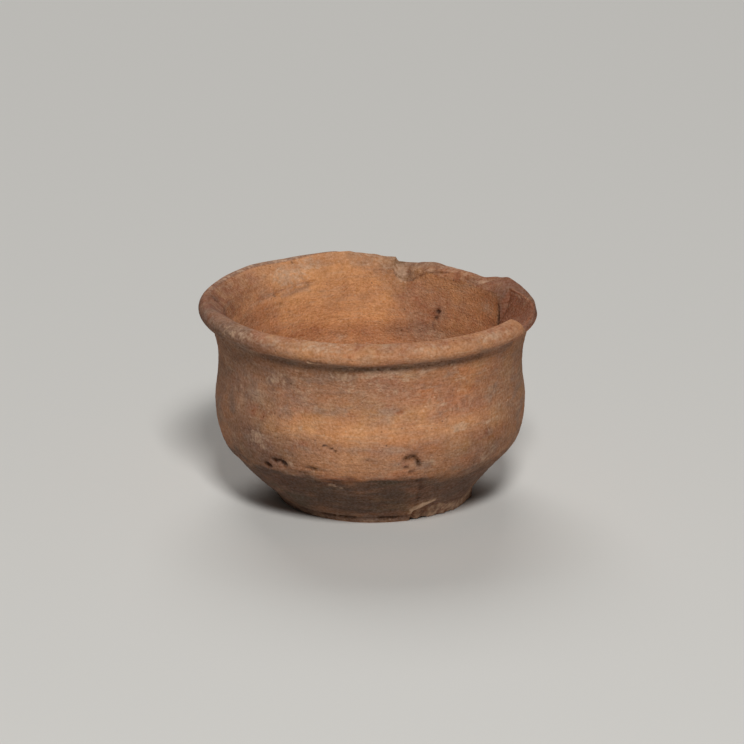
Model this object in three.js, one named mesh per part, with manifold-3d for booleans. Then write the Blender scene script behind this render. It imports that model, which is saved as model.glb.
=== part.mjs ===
// A miniature votive cup of fired clay: one piece, thrown on a wheel, its foot cut off with a string.
// Millimetres, +Z up. The origin is the middle of the foot's flat face, and the front of the cup faces -Y.
// Angles are in degrees round the cup: 0 is the right side, 90 the back and -90 the front.

import * as THREE from "three";
import { mergeVertices } from "three/addons/utils/BufferGeometryUtils.js";
import Module from "manifold-3d";

const wasm = await Module();
wasm.setup();

// Driving sizes of the thrown form
const CUP_HEIGHT = 31.7;
const LIP_DIAMETER = 52.4;
const LIP_ROLL_WIDTH = 4; // across the rolled lip, seen from above
const LIP_ROLL_HEIGHT = 3.2;
const LIP_OVERHANG = 1.7; // how far the roll stands out past the wall under it
const NECK_DIAMETER = 46.6;
const NECK_HEIGHT = 22;
const THROAT_FLARE = 15; // degrees that the wall leans out where it meets the lip
const BELLY_DIAMETER = 47.5;
const BELLY_HEIGHT = 16;
const SHAVED_DIAMETER = 42.4; // the top of the cone that was shaved round the foot
const SHAVED_HEIGHT = 8;
const FOOT_DIAMETER = 27.6;
const FOOT_SHIFT = 0.7; // the string left the foot a little to the right
const WALL = 2.6;
const FLOOR = 4.5;
const BOWL_FULLNESS = 2.6; // 2 is an ellipse, more is squarer at the bottom of the bowl

// Driving sizes of the old damage
const BREAK_FROM = 38; // the stretch at the back where the whole roll is knocked off
const BREAK_TO = 80;
const BREAK_DROP = 1.5; // how far below the rim the broken edge stands
const BREAK_SETBACK = 2; // how far inside the lip's outer edge it stands
const SPALL_TO = 97; // from the break to here the roll has lost its outer side and a little height
const SPALL_DROP = 0.3;
const SPALL_SETBACK = 2.8;
const WORN_FROM = -24; // the roll is rubbed down from here to the break
const WORN_DROP = 0.8;
const WORN_SETBACK = 1;
const SCAR_FROM = -23; // the flake that left the inside of the rim on the right
const SCAR_TO = 20;
const SCAR_DEPTH = 6.3; // how far below the rim the flake reaches
const SCAR_WIDTH = 2.1; // how much of the roll's width it took at the rim
const CHIP_FROM = -66; // the flake that left the foot at the front right
const CHIP_TO = -48;
const CHIP_HEIGHT = 1.6;
const CHIP_WIDTH = 0.8;

// Worked out from the driving sizes
const lipRadius = LIP_DIAMETER / 2;
const rollHalfWidth = LIP_ROLL_WIDTH / 2;
const rollHalfHeight = LIP_ROLL_HEIGHT / 2;
const rollRadius = lipRadius - rollHalfWidth;
const rollInnerRadius = lipRadius - LIP_ROLL_WIDTH;
const rollLevel = CUP_HEIGHT - rollHalfHeight;
const lipRootRadius = lipRadius - LIP_OVERHANG;
const neckRadius = NECK_DIAMETER / 2;
const bellyRadius = BELLY_DIAMETER / 2;
const shavedRadius = SHAVED_DIAMETER / 2;
const footRadius = FOOT_DIAMETER / 2;
const innerNeckRadius = neckRadius - WALL;
const innerBellyRadius = bellyRadius - WALL;

const TURN_STEPS = 72;
const WALL_STEPS = 5;
const ROLL_STEPS = 12;
const BOWL_STEPS = 9;
const CURVE_REACH = 0.4; // how far a curve's handles reach along its rise
const SHORT_REACH = 0.15; // the same where the inside turns down quickly under the roll
const ARC_STEPS = 16;
const CLEAR = 5; // how far a cutting block reaches past the clay
const SHARED_ANGLE = 1; // neighbouring stretches of damage overlap by this, so no thin wall stays between them
const MERGE_DISTANCE = 1e-4;

const clay = new THREE.MeshStandardMaterial({ color: 0xb27e59, roughness: 0.92, metalness: 0 });

// The section of the cup as radius and height, from the middle of the foot round the lip to the floor
function cupSection() {
  const at = (radius, height) => new THREE.Vector2(radius, height);
  const shavedTop = at(shavedRadius, SHAVED_HEIGHT);
  const coneDirection = shavedTop.clone().sub(at(footRadius, 0)).normalize();
  const lowerRise = BELLY_HEIGHT - SHAVED_HEIGHT;
  const upperRise = NECK_HEIGHT - BELLY_HEIGHT;
  const rootAngle = -Math.acos(1 - LIP_OVERHANG / rollHalfWidth);
  const lipRoot = at(lipRootRadius, rollLevel + rollHalfHeight * Math.sin(rootAngle));
  const throatReach = (lipRoot.y - NECK_HEIGHT) * CURVE_REACH;
  const throatLean = Math.tan(THREE.MathUtils.degToRad(THROAT_FLARE));
  const rollInside = at(rollInnerRadius, rollLevel);
  const innerRise = rollLevel - NECK_HEIGHT;
  const lowerBelly = new THREE.CubicBezierCurve(
    shavedTop,
    shavedTop.clone().addScaledVector(coneDirection, lowerRise * CURVE_REACH),
    at(bellyRadius, BELLY_HEIGHT - lowerRise * CURVE_REACH),
    at(bellyRadius, BELLY_HEIGHT),
  );
  const upperBelly = new THREE.CubicBezierCurve(
    at(bellyRadius, BELLY_HEIGHT),
    at(bellyRadius, BELLY_HEIGHT + upperRise * CURVE_REACH),
    at(neckRadius, NECK_HEIGHT - upperRise * CURVE_REACH),
    at(neckRadius, NECK_HEIGHT),
  );
  const throat = new THREE.CubicBezierCurve(
    at(neckRadius, NECK_HEIGHT),
    at(neckRadius, NECK_HEIGHT + throatReach),
    at(lipRoot.x - throatReach * throatLean, lipRoot.y - throatReach),
    lipRoot,
  );
  const roll = new THREE.EllipseCurve(
    rollRadius, rollLevel, rollHalfWidth, rollHalfHeight, rootAngle, Math.PI, false,
  );
  const innerThroat = new THREE.CubicBezierCurve(
    rollInside,
    at(rollInside.x, rollLevel - innerRise * SHORT_REACH),
    at(innerNeckRadius, rollLevel - innerRise * CURVE_REACH),
    at(innerNeckRadius, NECK_HEIGHT),
  );
  const section = [at(0, 0), at(footRadius, 0), ...lowerBelly.getPoints(WALL_STEPS)];
  section.push(...upperBelly.getPoints(WALL_STEPS).slice(1));
  section.push(...throat.getPoints(WALL_STEPS).slice(1));
  section.push(...roll.getPoints(ROLL_STEPS).slice(1));
  section.push(...innerThroat.getPoints(WALL_STEPS).slice(1));
  for (let step = 0; step <= BOWL_STEPS; step += 1) {
    const turn = (step / BOWL_STEPS) * (Math.PI / 2);
    const radius = innerBellyRadius * Math.cos(turn) ** (2 / BOWL_FULLNESS);
    const depth = (BELLY_HEIGHT - FLOOR) * Math.sin(turn) ** (2 / BOWL_FULLNESS);
    section.push(at(step === BOWL_STEPS ? 0 : radius, BELLY_HEIGHT - depth));
  }
  return section;
}

// The foot drifts to one side below the shaved cone's top
function shiftFoot(geometry) {
  const places = geometry.attributes.position;
  for (let index = 0; index < places.count; index += 1) {
    const nearness = Math.max(0, 1 - places.getZ(index) / SHAVED_HEIGHT);
    places.setX(index, places.getX(index) + FOOT_SHIFT * nearness ** 2);
  }
  return geometry;
}

// A closed geometry as a solid that can be joined and cut
function solidOf(geometry) {
  const bare = geometry.clone();
  bare.deleteAttribute("normal");
  bare.deleteAttribute("uv");
  const merged = mergeVertices(bare, MERGE_DISTANCE);
  return new wasm.Manifold(new wasm.Mesh({
    numProp: 3,
    vertProperties: merged.attributes.position.array,
    triVerts: new Uint32Array(merged.index.array),
  }));
}

function geometryOf(solid) {
  const mesh = solid.getMesh();
  const geometry = new THREE.BufferGeometry();
  geometry.setAttribute("position", new THREE.BufferAttribute(mesh.vertProperties, 3));
  geometry.setIndex(new THREE.BufferAttribute(mesh.triVerts, 1));
  geometry.computeVertexNormals();
  return geometry;
}

// A block between two angles, two radii and two heights
function sector(fromAngle, toAngle, innerRadius, outerRadius, low, high) {
  const start = THREE.MathUtils.degToRad(fromAngle);
  const end = THREE.MathUtils.degToRad(toAngle);
  const plan = new THREE.Shape();
  plan.absarc(0, 0, outerRadius, start, end, false);
  plan.absarc(0, 0, innerRadius, end, start, true);
  plan.closePath();
  const block = new THREE.ExtrudeGeometry(plan, {
    depth: high - low,
    bevelEnabled: false,
    curveSegments: ARC_STEPS,
  });
  return solidOf(block.translate(0, 0, low));
}

// A cone that stands on the axis, with one radius at its low end and another at its high end
function cone(lowRadius, highRadius, low, high) {
  const geometry = new THREE.CylinderGeometry(highRadius, lowRadius, high - low, TURN_STEPS);
  geometry.rotateX(Math.PI / 2);
  return solidOf(geometry.translate(0, 0, (low + high) / 2));
}

const beyondLip = lipRadius + CLEAR;
const aboveRim = CUP_HEIGHT + CLEAR;
const insideBore = innerNeckRadius - CLEAR;

// A stretch of rim that ends lower down and further in than the roll did
function lostRim(fromAngle, toAngle, drop, setback) {
  const rollUnderside = rollLevel - rollHalfHeight;
  const top = sector(fromAngle, toAngle, insideBore, beyondLip, CUP_HEIGHT - drop, aboveRim);
  const side = sector(fromAngle, toAngle, lipRadius - setback, beyondLip, rollUnderside, aboveRim);
  return top.add(side);
}

// The flake inside the rim leaves a sloping face, with a sharp step at each end
function flakeScar() {
  const foot = CUP_HEIGHT - SCAR_DEPTH;
  const slope = (rollInnerRadius + SCAR_WIDTH - innerNeckRadius) / SCAR_DEPTH;
  const face = cone(
    innerNeckRadius - CLEAR * slope,
    innerNeckRadius + (SCAR_DEPTH + CLEAR) * slope,
    foot - CLEAR,
    aboveRim,
  );
  return face.intersect(sector(SCAR_FROM, SCAR_TO, insideBore, beyondLip, foot - CLEAR, aboveRim));
}

// The chip under the foot's edge: a block across the edge, less the cone of clay that stays behind
function footChip() {
  const slope = (shavedRadius - footRadius) / SHAVED_HEIGHT + CHIP_WIDTH / CHIP_HEIGHT;
  const edgeRadius = footRadius - CHIP_WIDTH;
  const kept = cone(edgeRadius - CLEAR * slope, edgeRadius + CHIP_HEIGHT * slope, -CLEAR, CHIP_HEIGHT);
  const block = sector(CHIP_FROM, CHIP_TO, footRadius / 2, shavedRadius, -CLEAR, CHIP_HEIGHT);
  return block.subtract(kept);
}

function cupBody() {
  const thrown = new THREE.LatheGeometry(cupSection(), TURN_STEPS).rotateX(Math.PI / 2);
  const damage = [
    lostRim(BREAK_FROM, BREAK_TO, BREAK_DROP, BREAK_SETBACK),
    lostRim(BREAK_TO - SHARED_ANGLE, SPALL_TO, SPALL_DROP, SPALL_SETBACK),
    lostRim(WORN_FROM, BREAK_FROM + SHARED_ANGLE, WORN_DROP, WORN_SETBACK),
    flakeScar(),
    footChip(),
  ];
  const worn = damage.reduce((cup, cut) => cup.subtract(cut), solidOf(shiftFoot(thrown)));
  const mesh = new THREE.Mesh(geometryOf(worn), clay);
  mesh.name = "cup_body";
  return mesh;
}

const cup = new THREE.Group();
cup.add(cupBody());

export default cup;
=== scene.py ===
# %% [markdown]
# # A miniature votive cup
# The cup is one piece of fired clay. A potter threw it on a wheel, rolled the lip out of the same wall,
# cut the foot off the hump with a string and shaved it with a blade. Later the rim lost some flakes, and
# the foot one chip.
# This lesson spins one section into the whole cup, then works the surface, as a potter, a blade
# and long wear did, and last gives it one clay that reads those marks.

import math

import bmesh
import bpy
import numpy as np
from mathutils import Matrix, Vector, noise
from mathutils.geometry import interpolate_bezier


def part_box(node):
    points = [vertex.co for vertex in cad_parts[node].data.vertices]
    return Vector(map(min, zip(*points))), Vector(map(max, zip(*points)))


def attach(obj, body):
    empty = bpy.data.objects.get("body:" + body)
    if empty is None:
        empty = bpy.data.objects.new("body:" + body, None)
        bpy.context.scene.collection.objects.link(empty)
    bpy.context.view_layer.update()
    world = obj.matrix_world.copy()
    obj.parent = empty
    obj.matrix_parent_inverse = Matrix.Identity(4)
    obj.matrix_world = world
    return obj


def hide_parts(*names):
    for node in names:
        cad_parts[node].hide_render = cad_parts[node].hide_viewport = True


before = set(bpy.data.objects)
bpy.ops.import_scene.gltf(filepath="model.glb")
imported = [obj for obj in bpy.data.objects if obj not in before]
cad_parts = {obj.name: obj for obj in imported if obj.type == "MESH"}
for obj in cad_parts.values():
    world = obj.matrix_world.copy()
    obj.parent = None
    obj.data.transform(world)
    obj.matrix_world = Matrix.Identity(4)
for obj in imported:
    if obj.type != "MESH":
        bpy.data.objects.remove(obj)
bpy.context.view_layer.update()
cup_low, cup_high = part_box("cup_body")
# One millimetre in metres
MM = 0.001
cup_height = cup_high.z / MM
lip_radius = -cup_low.x / MM
print(f"the packed cup is {cup_height:.1f} mm high, and its lip {2 * lip_radius:.1f} mm across")

# %% [markdown]
# ## Camera
# The picture was taken with a long lens from about a metre away, a little above the rim. The distance and
# the scale in pixels give the lens. The aim point is set so that the cup's axis falls on its own column.

# %% Set the camera
PICTURE_SIDE_PX = 744
PIXELS_PER_MM = 6.54
AXIS_COLUMN_PX = 370.3
CAMERA_DISTANCE = 1050
CAMERA_ELEVATION = math.radians(17.8)
AIM_HEIGHT = 19.6
SENSOR = 36
NEAREST_SEEN = 0.05
FARTHEST_SEEN = 20

aim = Vector(((PICTURE_SIDE_PX / 2 - AXIS_COLUMN_PX) / PIXELS_PER_MM, 0, AIM_HEIGHT)) * MM
towards_camera = Vector((0, -math.cos(CAMERA_ELEVATION), math.sin(CAMERA_ELEVATION)))
camera = bpy.data.objects.new("camera", bpy.data.cameras.new("camera"))
camera.data.sensor_width = SENSOR
camera.data.lens = SENSOR * PIXELS_PER_MM * CAMERA_DISTANCE / PICTURE_SIDE_PX
camera.location = aim + towards_camera * CAMERA_DISTANCE * MM
camera.rotation_euler = towards_camera.to_track_quat("Z", "Y").to_euler()
camera.data.clip_start = NEAREST_SEEN
camera.data.clip_end = FARTHEST_SEEN
bpy.context.collection.objects.link(camera)
bpy.context.scene.camera = camera
print(f"the lens is {camera.data.lens:.0f} mm")

# %% [markdown]
# ## The thrown section
# A thrown pot is a solid of revolution, so half of its outline, turned round the axis, gives it all. The
# outline could be a list of many points, but a potter's curve has few: the foot, the shaved cone, the
# belly, the waist, the throat, the rolled lip and the round bowl. Each stretch here is a line, a curve
# between two of them, or an ellipse. Every point keeps its course: the number of its stretch plus how far
# along it lies, so that later steps can tell the outside, the lip and the inside apart.

# %% Name the sizes of the thrown form
LIP_ROLL_WIDTH = 4
LIP_ROLL_HEIGHT = 3.2
LIP_OVERHANG = 1.7
NECK_RADIUS = 23.3
NECK_HEIGHT = 22
THROAT_FLARE = math.radians(15)
BELLY_RADIUS = 23.75
BELLY_HEIGHT = 16
SHAVED_RADIUS = 21.2
SHAVED_HEIGHT = 8
FOOT_RADIUS = 13.8
WALL = 2.6
FLOOR = 4.5
BOWL_FULLNESS = 2.6
INNER_LIP_FULLNESS = 1.2
INNER_LIP_LEAN = 0.75
INNER_LIP_DROP = 1
CURVE_REACH = 0.4
SHORT_REACH = 0.16

# %% Name how finely each stretch is cut
UNDERSIDE_STEPS = 10
CONE_STEPS = 25
LOWER_BELLY_STEPS = 25
UPPER_BELLY_STEPS = 16
THROAT_STEPS = 18
LIP_STEPS = 30
INNER_THROAT_STEPS = 27
WALL_STEPS = 10
BOWL_STEPS = 16
# The whole numbers of the course, one for each stretch
UNDERSIDE, CONE, LOWER_BELLY, UPPER_BELLY, THROAT, LIP, INNER_THROAT, BOWL, SECTION_END = range(9)


# %% Draw the section
def stretch(course, points):
    """Gives each point of one stretch its course, and leaves the last point to the next stretch."""
    parts = len(points) - 1
    return [(across, up, course + i / parts) for i, (across, up) in enumerate(points[:-1])]


def curve(start, start_handle, end_handle, end, steps):
    """Points along a curve from start to end, each end drawn towards its own handle."""
    controls = [Vector(point) for point in (start, start_handle, end_handle, end)]
    return [tuple(point) for point in interpolate_bezier(*controls, steps + 1)]


def cup_section():
    """Radius, height and course of each point, from the middle of the foot to the middle of the floor."""
    cone_run = SHAVED_RADIUS - FOOT_RADIUS
    cone_lean = Vector((cone_run, SHAVED_HEIGHT)).normalized()
    lower_rise = BELLY_HEIGHT - SHAVED_HEIGHT
    upper_rise = NECK_HEIGHT - BELLY_HEIGHT
    half_width = LIP_ROLL_WIDTH / 2
    half_height = LIP_ROLL_HEIGHT / 2
    roll = Vector((lip_radius - half_width, cup_height - half_height))
    root_angle = -math.acos(1 - LIP_OVERHANG / half_width)
    lip_root = roll + Vector((half_width * math.cos(root_angle), half_height * math.sin(root_angle)))
    throat_reach = (lip_root.y - NECK_HEIGHT) * CURVE_REACH
    inner_neck = NECK_RADIUS - WALL
    inner_belly = BELLY_RADIUS - WALL
    inner_rise = roll.y - NECK_HEIGHT
    inner_shoulder = roll.x - half_width
    cone_handle = Vector((SHAVED_RADIUS, SHAVED_HEIGHT)) + cone_lean * lower_rise * CURVE_REACH
    underside = [(FOOT_RADIUS * i / UNDERSIDE_STEPS, 0) for i in range(UNDERSIDE_STEPS + 1)]
    cone = [
        (FOOT_RADIUS + cone_run * i / CONE_STEPS, SHAVED_HEIGHT * i / CONE_STEPS)
        for i in range(CONE_STEPS + 1)
    ]
    lower = curve(
        (SHAVED_RADIUS, SHAVED_HEIGHT), cone_handle,
        (BELLY_RADIUS, BELLY_HEIGHT - lower_rise * CURVE_REACH), (BELLY_RADIUS, BELLY_HEIGHT),
        LOWER_BELLY_STEPS,
    )
    upper = curve(
        (BELLY_RADIUS, BELLY_HEIGHT), (BELLY_RADIUS, BELLY_HEIGHT + upper_rise * SHORT_REACH),
        (NECK_RADIUS, NECK_HEIGHT - upper_rise * CURVE_REACH), (NECK_RADIUS, NECK_HEIGHT),
        UPPER_BELLY_STEPS,
    )
    throat = curve(
        (NECK_RADIUS, NECK_HEIGHT), (NECK_RADIUS, NECK_HEIGHT + throat_reach),
        (lip_root.x - throat_reach * math.tan(THROAT_FLARE), lip_root.y - throat_reach), lip_root,
        THROAT_STEPS,
    )
    lip = []
    for i in range(LIP_STEPS + 1):
        angle = root_angle + (math.pi - root_angle) * i / LIP_STEPS
        flat = 2 / INNER_LIP_FULLNESS if angle > math.pi / 2 else 1
        out = math.copysign(abs(math.cos(angle)) ** flat, math.cos(angle))
        up = math.copysign(abs(math.sin(angle)) ** flat, math.sin(angle))
        lip.append((roll.x + half_width * out, roll.y + half_height * up))
    inner_throat = curve(
        (inner_shoulder, roll.y), (inner_shoulder - INNER_LIP_LEAN, roll.y - INNER_LIP_DROP),
        (inner_neck, roll.y - inner_rise * CURVE_REACH), (inner_neck, NECK_HEIGHT),
        INNER_THROAT_STEPS,
    )
    inner_wall = [
        (
            inner_neck + (inner_belly - inner_neck) * i / WALL_STEPS,
            NECK_HEIGHT - upper_rise * i / WALL_STEPS,
        )
        for i in range(WALL_STEPS)
    ]
    turns = [math.pi / 2 * i / BOWL_STEPS for i in range(BOWL_STEPS + 1)]
    bowl = inner_wall + [
        (
            inner_belly * max(0.0, math.cos(turn)) ** (2 / BOWL_FULLNESS) if i < BOWL_STEPS else 0,
            BELLY_HEIGHT - (BELLY_HEIGHT - FLOOR) * math.sin(turn) ** (2 / BOWL_FULLNESS),
        )
        for i, turn in enumerate(turns)
    ]
    stretches = [underside, cone, lower, upper, throat, lip, inner_throat, bowl]
    section = [point for number, points in enumerate(stretches) for point in stretch(number, points)]
    return section + [(0, FLOOR, SECTION_END)]


section = cup_section()
print(f"the section has {len(section)} points")

# %% [markdown]
# ## Spin the cup
# The section is a chain of vertices and edges, and spin sweeps it round the axis. Sweeping the whole turn
# in one go is slow on so fine a mesh, so the first spin makes one wedge and the second copies it round.
# The wedges meet edge to edge, and the chain's ends lie on the axis: both are merged, and only then are
# the faces made to point outwards.

# %% Spin the section
TURN_STEPS = 540
WEDGES = 12
MERGE_DISTANCE = 1e-4


def spin_cup():
    """Sweeps the section round the axis, and gives each vertex the course of its point."""
    bm = bmesh.new()
    course_layer = bm.verts.layers.float.new("course")
    chain = []
    for radius, height, course in section:
        vertex = bm.verts.new((radius, 0, height))
        vertex[course_layer] = course
        chain.append(vertex)
    edges = [bm.edges.new(pair) for pair in zip(chain, chain[1:])]
    wedge_angle = 2 * math.pi / WEDGES
    bmesh.ops.spin(
        bm, geom=chain + edges, cent=(0, 0, 0), axis=(0, 0, 1),
        angle=wedge_angle, steps=TURN_STEPS // WEDGES,
    )
    bmesh.ops.spin(
        bm, geom=bm.verts[:] + bm.edges[:] + bm.faces[:], cent=(0, 0, 0), axis=(0, 0, 1),
        angle=2 * math.pi - wedge_angle, steps=WEDGES - 1, use_duplicate=True,
    )
    bmesh.ops.remove_doubles(bm, verts=bm.verts[:], dist=MERGE_DISTANCE)
    bmesh.ops.recalc_face_normals(bm, faces=bm.faces[:])
    mesh = bpy.data.meshes.new("thrown_cup")
    bm.to_mesh(mesh)
    bm.free()
    return mesh


mesh = spin_cup()
cup = bpy.data.objects.new("thrown_cup", mesh)
bpy.context.collection.objects.link(cup)
triangles = sum(len(face.vertices) - 2 for face in mesh.polygons)
print(f"the cup has {len(mesh.vertices)} vertices and {triangles} triangles")

# %% [markdown]
# ## Places on the cup
# Marks on a pot are easiest to name by how far round it they lie and how high up: 0 degrees is the right
# side, 90 the back and -90 the front. These helpers read every vertex once, and give soft edges, ovals and
# lines on that unrolled surface, in millimetres.

# %% Read the vertices
# Both sides reach this share of the way over the lip
LIP_SHARE = 0.35
# From this course on a vertex lies on the foot's edge or above it
FOOT_EDGE = UNDERSIDE + 0.95
count = len(mesh.vertices)
place = np.empty(count * 3)
mesh.vertices.foreach_get("co", place)
place = place.reshape(-1, 3)
course = np.empty(count)
mesh.attributes["course"].data.foreach_get("value", course)
radius = np.hypot(place[:, 0], place[:, 1])
height = place[:, 2].copy()
azimuth = np.degrees(np.arctan2(place[:, 1], place[:, 0]))
outside = (course > CONE) & (course < LIP + LIP_SHARE)
inside = course > INNER_THROAT - LIP_SHARE
print(f"{outside.sum()} vertices lie outside and {inside.sum()} inside")


# %% Helpers for places
# Keeps a line whose ends meet from dividing by nothing
TINY = 1e-9
# How far one seed moves the noise, and how each finer layer of rough noise follows the one before
SEED_STEP = np.array([7.3, 3.1, 5.7])
LAYER_FALLOFF = 0.9
LAYER_SCALE = 2.1


def fade(value, start, end):
    """0 before start, 1 past end, smooth between. Start may be the larger, which turns it round."""
    part = np.clip((value - start) / (end - start), 0, 1)
    return part * part * (3 - 2 * part)


def away(angle):
    """Signed degrees from an angle, between -180 and 180."""
    return (azimuth - angle + 180) % 360 - 180


def between(first, last, soft):
    """1 in a window round the cup: first angle, last angle and how wide its soft ends are, in degrees."""
    middle = (first + last) / 2
    return 1 - fade(abs(away(middle)), (last - first) / 2, (last - first) / 2 + soft)


def oval(angle, level, length, width, turn=0, edge=1.0):
    """A round patch on the wall, 1 in its middle. Turn is in degrees, anticlockwise on the outside."""
    along = np.radians(away(angle)) * radius
    up = height - level
    tilt = math.radians(turn)
    lengthwise = (along * math.cos(tilt) + up * math.sin(tilt)) / (length / 2)
    crosswise = (up * math.cos(tilt) - along * math.sin(tilt)) / (width / 2)
    return np.clip(1 - (lengthwise ** 2 + crosswise ** 2), 0, 1) ** edge


def line(points, width):
    """A line on the wall through places given as angle and height, 1 on its middle."""
    nearest = np.full(count, np.inf)
    for (angle, level), (next_angle, next_level) in zip(points, points[1:]):
        along = np.radians(away(angle)) * radius
        up = height - level
        run = np.radians(next_angle - angle) * radius
        rise = next_level - level
        part = np.clip((along * run + up * rise) / (run * run + rise * rise + TINY), 0, 1)
        nearest = np.minimum(nearest, np.hypot(along - part * run, up - part * rise))
    return np.clip(1 - nearest / (width / 2), 0, 1)


def level_along(points):
    """The height of a line at each vertex's own angle."""
    angles, levels = zip(*points)
    return np.interp(azimuth, angles, levels)


def speckle(size, seed, flatten=1.0, detail=1):
    """Smooth noise between about -1 and 1, with lumps of a size in mm. Flatten squeezes their height."""
    scale = np.array([1, 1, 1 / flatten]) / size
    points = (place * scale + SEED_STEP * seed).tolist()
    if detail == 1:
        return np.array([noise.noise(point) for point in points])
    return np.array([noise.fractal(point, LAYER_FALLOFF, LAYER_SCALE, detail) for point in points])


# %% [markdown]
# ## The broken rim
# About a third of the rim is damaged. A boolean with a rough block would do, but it leaves a mesh with
# long thin faces. Here the rings of the rim move instead, each onto the outline that the break has at its
# angle. A station names that outline by four points, the outside shoulder, the crest, the inner shoulder
# and the edge where the break meets the inside wall, and by how far the stretch between the last two is
# hollowed. The rim between two stations blends from one to the other. Two stations close together make a
# sharp notch.

# %% Name the stations of the rim
RIM_STATIONS = [
    (-22, (25.5, 29.1), (25.2, 29.6), (23.4, 28.9), (21.0, 26.3), 0.1),
    (-13, (25.4, 29.0), (25.2, 29.5), (23.8, 29.0), (21.0, 25.3), 0.25),
    (-3, (25.4, 29.1), (25.15, 30.2), (24.7, 29.8), (21.0, 26.1), 0.15),
    (4, (25.35, 29.2), (25.05, 30.5), (24.5, 30.1), (21.0, 25.4), 0.3),
    (11, (25.3, 29.3), (24.8, 30.65), (23.9, 30.2), (21.0, 25.6), 0.35),
    (18.7, (25.2, 29.4), (24.7, 30.75), (22.9, 30.6), (21.0, 25.5), 0.3),
    (19.6, (25.2, 29.4), (24.7, 30.8), (22.8, 30.6), (20.9, 28.3), 0),
    (24, (25.2, 29.4), (24.7, 30.85), (22.6, 30.4), (21.2, 29.5), 0),
    (30, (25.1, 29.5), (24.8, 30.9), (22.4, 30.1), (21.2, 29.3), 0),
    (37, (25.1, 29.4), (24.8, 30.3), (22.1, 29.7), (21.2, 29.0), 0),
    (40, (24.8, 28.9), (23.0, 30.3), (21.7, 30.0), (21.2, 29.2), 0),
    (48, (24.6, 28.8), (22.5, 30.6), (21.7, 30.4), (21.1, 29.4), 0),
    (58, (24.7, 28.9), (23.4, 30.4), (21.7, 30.1), (21.1, 29.3), 0),
    (65, (24.8, 29.1), (24.2, 30.55), (21.9, 30.1), (21.3, 29.6), -0.1),
    (70, (24.8, 29.1), (24.2, 30.3), (22.2, 29.9), (21.5, 28.7), -0.15),
    (72.5, (24.8, 29.1), (24.2, 30.15), (22.4, 29.4), (21.5, 27.9), -0.15),
    (75.5, (24.8, 29.1), (24.2, 30.1), (22.9, 29.4), (21.6, 27.7), 0.1),
    (79.6, (24.8, 29.1), (24.2, 30.1), (22.8, 29.6), (21.6, 28.4), 0),
    (80.6, (24.9, 29.5), (24.4, 30.75), (22.9, 30.2), (21.9, 29.4), 0),
    (84, (24.9, 29.6), (24.4, 30.75), (22.6, 30.2), (21.9, 29.6), 0),
    (89, (24.9, 29.7), (24.3, 31.15), (22.7, 30.5), (22.0, 29.8), 0),
    (95, (25.0, 29.8), (24.3, 31.45), (23.2, 31.1), (22.1, 30.0), 0),
    (98, (25.4, 29.9), (24.2, 31.75), (23.5, 31.55), (22.1, 30.0), 0),
]
LIP_END = -29
SPALL_END = 103
BREAK_EDGE = INNER_THROAT + 0.5
STATION_COURSES = (LIP, LIP + 0.33, LIP + 0.66, INNER_THROAT, BREAK_EDGE, BOWL)


# %% Move the rim onto the stations
def broken_rim():
    """Moves the rim between two angles onto its stations, and tells which vertices moved."""
    rim = np.where((course > LIP) & (course < BOWL) & (azimuth > LIP_END) & (azimuth < SPALL_END))[0]
    courses = [point[2] for point in section]
    root = section[courses.index(LIP)]
    end = section[courses.index(BOWL)]
    outlines = []
    bow = np.sin(np.pi * np.clip((course[rim] - INNER_THROAT) / (BREAK_EDGE - INNER_THROAT), 0, 1))
    for _, *points, hollow in RIM_STATIONS:
        outline = np.array([root[:2], *points, end[:2]])
        radii, heights = [np.interp(course[rim], STATION_COURSES, outline[:, axis]) for axis in (0, 1)]
        outlines.append([radii + bow * hollow, heights])
    outlines = np.array(outlines)
    angles = np.array([station[0] for station in RIM_STATIONS])
    spot = np.interp(azimuth[rim], angles, np.arange(len(angles)))
    before = np.minimum(spot.astype(int), len(angles) - 2)
    part = spot - before
    part = part * part * (3 - 2 * part)
    pick = np.arange(len(rim))
    moved = outlines[before, :, pick] * (1 - part[:, None]) + outlines[before + 1, :, pick] * part[:, None]
    amount = fade(azimuth[rim], LIP_END, angles[0]) * fade(azimuth[rim], SPALL_END, angles[-1])
    radius[rim] += (moved[:, 0] - radius[rim]) * amount
    height[rim] += (moved[:, 1] - height[rim]) * amount
    return rim


rim = broken_rim()
print(f"{len(rim)} vertices of the rim moved, the highest of them to {height[rim].max():.1f} mm")

# %% [markdown]
# ## The shape as a whole
# No small pot is quite true. The string dragged the foot to one side, the lip waves a little, and at the
# left back its inner face slants down where the rest rolls round. These are slow changes, so a few places
# along the height and round the rim are enough, and the rest lies smoothly between them.

# %% Pull the shape off its axis
SIDE_SHIFTS = [(0, 0.5), (2, 0.35), (4, -0.1), (6, -0.25), (8, -0.2), (10, 0), (40, 0)]
SLANTED_LIP = [(25.45, 31.3), (24.9, 31.3), (24.1, 30.75), (22.5, 29.3), (21.15, 26), (20.7, 22)]
SLANT_COURSES = (LIP + 0.5, LIP + 0.58, LIP + 0.75, INNER_THROAT, BREAK_EDGE, BOWL)
SLANT_STARTS = (103, 122)
SLANT_ENDS = (-156, -178)
LIP_WAVES = [(-180, 0), (97, 0), (105, 0.02), (122, -0.16), (137, 0.1), (157, -0.15), (180, 0)]


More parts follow.
